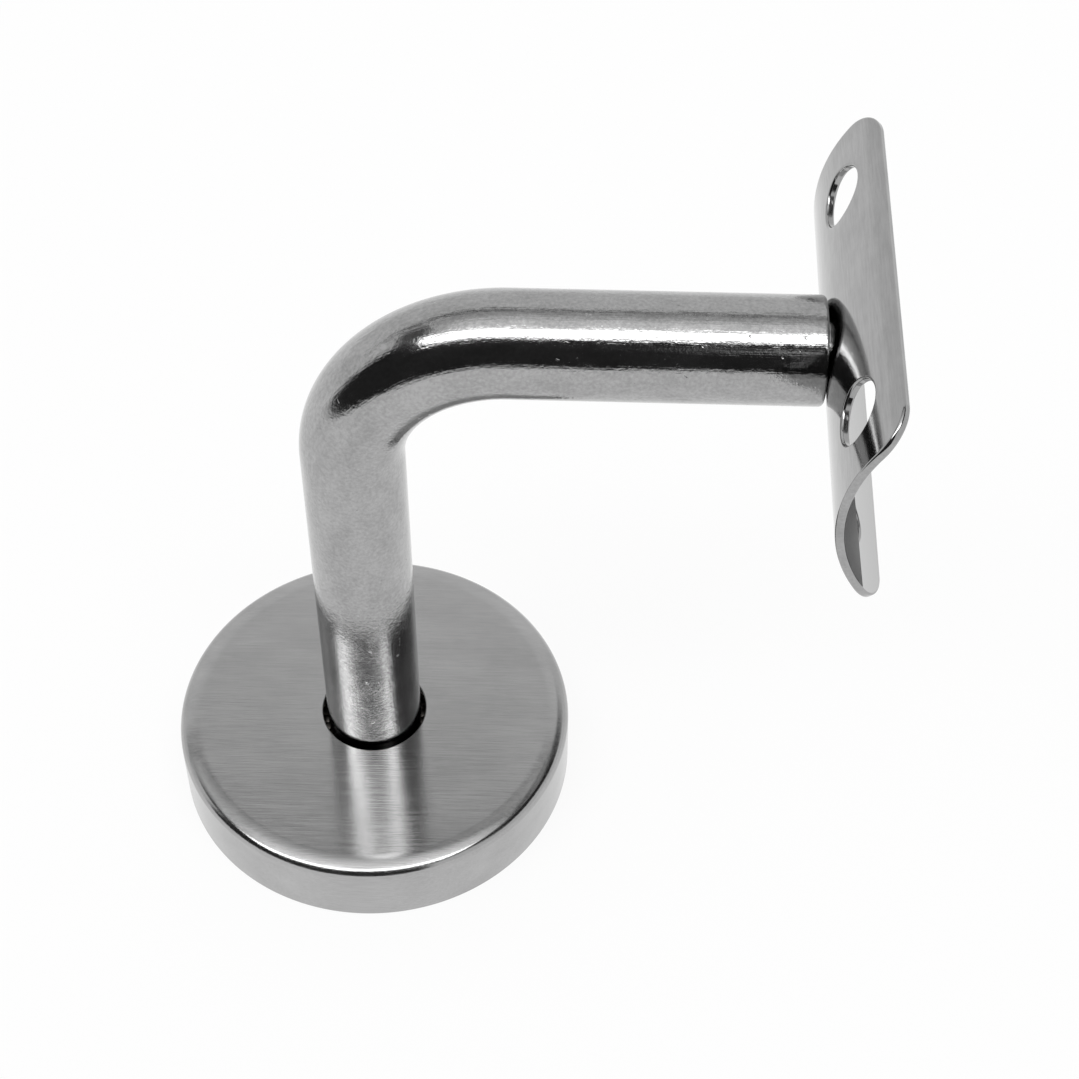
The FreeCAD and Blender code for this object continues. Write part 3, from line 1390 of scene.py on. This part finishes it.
@dataclass(frozen=True)
class Panel:
    """Flat panel of the light tent, seen from the bracket.

    Azimuth 0 is towards -Y and 90 towards +X. Its middle and half sizes are in its own plane, at a
    distance of 1 from the bracket, to the right and up.
    """

    azimuth: float
    elevation: float
    turn: float
    middle: tuple[float, float]
    half: tuple[float, float]
    soft: tuple[float, float]
    level: float
    horizon: Span = (0.0, 0.05)
    least_reach: float = 0.02

    def axes(self) -> tuple[Vector, Vector, Vector]:
        """Directions towards the panel, to its right and up along it.

        Returns:
            The three directions, of length 1.
        """
        around, tilt, turn = (math.radians(v) for v in (self.azimuth, self.elevation, self.turn))
        level = Vector((math.sin(around), -math.cos(around), 0))
        ahead = level * math.cos(tilt) + Vector((0, 0, math.sin(tilt)))
        right = Matrix.Rotation(turn, 3, ahead) @ Vector((math.cos(around), math.sin(around), 0))
        return ahead, right, right.cross(-ahead)

    def mask(self, tree: bpy.types.NodeTree, ray: bpy.types.NodeSocket) -> bpy.types.NodeSocket:
        """Share of the panel in a direction, from 0 to 1.

        Args:
            tree: The world's tree.
            ray: Direction that is looked at.

        Returns:
            The share.
        """
        ahead, right, up = (
            add_node(tree, "ShaderNodeVectorMath", {"operation": "DOT_PRODUCT"}, {
                0: ray, 1: tuple(axis),
            }).outputs[1]
            for axis in self.axes()
        )
        front = add_node(tree, "ShaderNodeMapRange", feeds=span(ahead, self.horizon, (0.0, 1.0)))
        share = front.outputs["Result"]
        reach = add_node(tree, "ShaderNodeMath", {"operation": "MAXIMUM"}, {0: ahead, 1: self.least_reach})
        for side, middle, half, soft in zip((right, up), self.middle, self.half, self.soft):
            over = add_node(tree, "ShaderNodeMath", {"operation": "DIVIDE"}, {
                0: side, 1: reach.outputs["Value"],
            })
            off = add_node(tree, "ShaderNodeMath", {"operation": "SUBTRACT"}, {
                0: over.outputs["Value"], 1: middle,
            })
            far = add_node(tree, "ShaderNodeMath", {"operation": "ABSOLUTE"}, {0: off.outputs["Value"]})
            edge = add_node(
                tree, "ShaderNodeMapRange", {"interpolation_type": "SMOOTHSTEP"},
                span(far.outputs["Value"], (half - soft, half + soft), (1.0, 0.0)),
            )
            share = add_node(tree, "ShaderNodeMath", {"operation": "MULTIPLY"}, {
                0: share, 1: edge.outputs["Result"],
            }).outputs["Value"]
        return share


@dataclass(frozen=True)
class Studio:
    """Pale floor and a tent of soft light, with a dark screen in front and a lamp above.

    The floor leaves out a notch in front on the left, where polished metal sees the screen's foot.
    """

    tent_level: float = 0.86
    panels: tuple[Panel, ...] = (
        # Dark room beyond the tent, left and right.
        Panel(0, 90, 0, middle=(-1.14, -0.05), half=(0.36, 0.42), soft=(0.12, 0.14), level=0.14),
        Panel(0, 90, 0, middle=(1.15, 0.1), half=(0.59, 0.78), soft=(0.06, 0.2), level=0.03),
        # Seam of the tent, the shade in front of it and the lamp's glow on the cloth.
        Panel(0, 90, -3, middle=(0.0, 0.565), half=(4.0, 0.06), soft=(0.5, 0.03), level=0.0),
        Panel(0, 90, 0, middle=(0.0, 0.33), half=(0.6, 0.19), soft=(0.2, 0.1), level=0.58),
        Panel(0, 90, 0, middle=(-0.08, -0.10), half=(0.45, 0.26), soft=(0.12, 0.24), level=1.3),
        # Dark screen in front, with its upper part over the bracket, and the lamp.
        Panel(-28, 0, 0, middle=(0.0, 0.4), half=(1.45, 0.78), soft=(0.12, 0.12), level=0.03),
        Panel(0, 90, 0, middle=(-0.2, -0.86), half=(1.0, 0.24), soft=(0.15, 0.06), level=0.03),
        Panel(0, 90, 0, middle=(-0.20, -0.42), half=(0.79, 0.17), soft=(0.06, 0.08), level=5.5),
    )
    floor_glow: float = 0.90
    floor_reach: float = 1.4
    floor_notch: float = 0.20
    floor_colour: str = "#f4f4f4"

    def build(self, ground: float) -> None:
        """Makes the world, and the floor at ground height.

        Args:
            ground: Height of the floor, in metres.
        """
        self.make_world()
        self.make_floor(ground)
        bpy.context.scene.view_settings.view_transform = "Standard"

    def make_world(self) -> None:
        """Lights the room from the tent; eyes see plain white."""
        world = bpy.data.worlds.new("studio")
        world.use_nodes = True
        tree = world.node_tree
        tree.nodes.clear()
        ray = add_node(tree, "ShaderNodeTexCoord").outputs["Generated"]
        glow: Any = self.tent_level
        for panel in self.panels:
            glow = add_node(tree, "ShaderNodeMix", {"data_type": "FLOAT"}, {
                "Factor": panel.mask(tree, ray), 2: glow, 3: panel.level,
            }).outputs[0]
        tent = add_node(tree, "ShaderNodeBackground", feeds={"Color": (1, 1, 1, 1), "Strength": glow})
        white = add_node(tree, "ShaderNodeBackground", feeds={"Color": (1, 1, 1, 1), "Strength": 1.0})
        seen = add_node(tree, "ShaderNodeLightPath").outputs["Is Camera Ray"]
        mixed = add_node(tree, "ShaderNodeMixShader", feeds={
            0: seen, 1: tent.outputs["Background"], 2: white.outputs["Background"],
        })
        add_node(tree, "ShaderNodeOutputWorld", feeds={"Surface": mixed.outputs["Shader"]})
        bpy.context.scene.world = world

    def make_floor(self, height: float) -> None:
        """Lays a pale floor that eyes and metal see as nearly white, with the bracket's shadow on it.

        Args:
            height: Height of the floor, in metres.
        """
        material, tree = start_material("studio_floor")
        path = add_node(tree, "ShaderNodeLightPath")
        eye = add_node(tree, "ShaderNodeMath", {"operation": "MAXIMUM"}, {
            0: path.outputs["Is Camera Ray"], 1: path.outputs["Is Glossy Ray"],
        })
        seen = add_node(tree, "ShaderNodeMath", {"operation": "MAXIMUM"}, {
            0: eye.outputs["Value"], 1: path.outputs["Is Transmission Ray"],
        })
        amount = add_node(tree, "ShaderNodeMath", {"operation": "MULTIPLY"}, {
            0: seen.outputs["Value"], 1: self.floor_glow,
        })
        matt = add_node(tree, "ShaderNodeBsdfDiffuse", feeds={"Color": linear(self.floor_colour)})
        glow = add_node(tree, "ShaderNodeEmission", feeds={"Color": (1, 1, 1, 1), "Strength": 1.0})
        mixed = add_node(tree, "ShaderNodeMixShader", feeds={
            0: amount.outputs["Value"], 1: matt.outputs["BSDF"], 2: glow.outputs["Emission"],
        })
        add_node(tree, "ShaderNodeOutputMaterial", feeds={"Surface": mixed.outputs["Shader"]})
        mesh = bpy.data.meshes.new("floor")
        near, far = self.floor_notch, self.floor_reach
        outline = ((-near, -far), (far, -far), (far, far), (-far, far), (-far, 0.0), (-near, 0.0))
        mesh.from_pydata([(x, y, height) for x, y in outline], [], [tuple(range(len(outline)))])
        mesh.materials.append(material)
        link_object(bpy.data.objects.new("floor", mesh))


# ---------------------------------------------------------------- assembly


def main() -> None:
    """Builds the bracket's pieces in order, then the studio."""
    logging.basicConfig(level=logging.INFO, format="%(name)s: %(message)s")
    # The foot bead's weld metal is darkened as painted shade for the gap round the leg.
    weld = WeldMetal().build()
    ground_weld = WeldMetal(name="ground_stainless_weld", light="#a6a4a2", dark="#8d8b89").build()
    arm = Arm.from_frame()
    pieces = [
        arm.build(PolishedBar().build()),
        WallFlange.from_frame(arm).build(TurnedDisc().build()),
        FootWeld.from_frame(arm).build(weld),
        CoverRose.from_frame().build(BrushedCap().build()),
        SaddlePlate.from_frame().build(SatinSheet().build()),
        dress_saddle_weld(ground_weld),
    ]
    for piece in pieces:
        LOG.info("%s: %d faces", piece.name, len(piece.data.polygons))
    Studio().build(CAD_BOX[0].z)
    Camera().build()


if __name__ == "__main__":
    main()
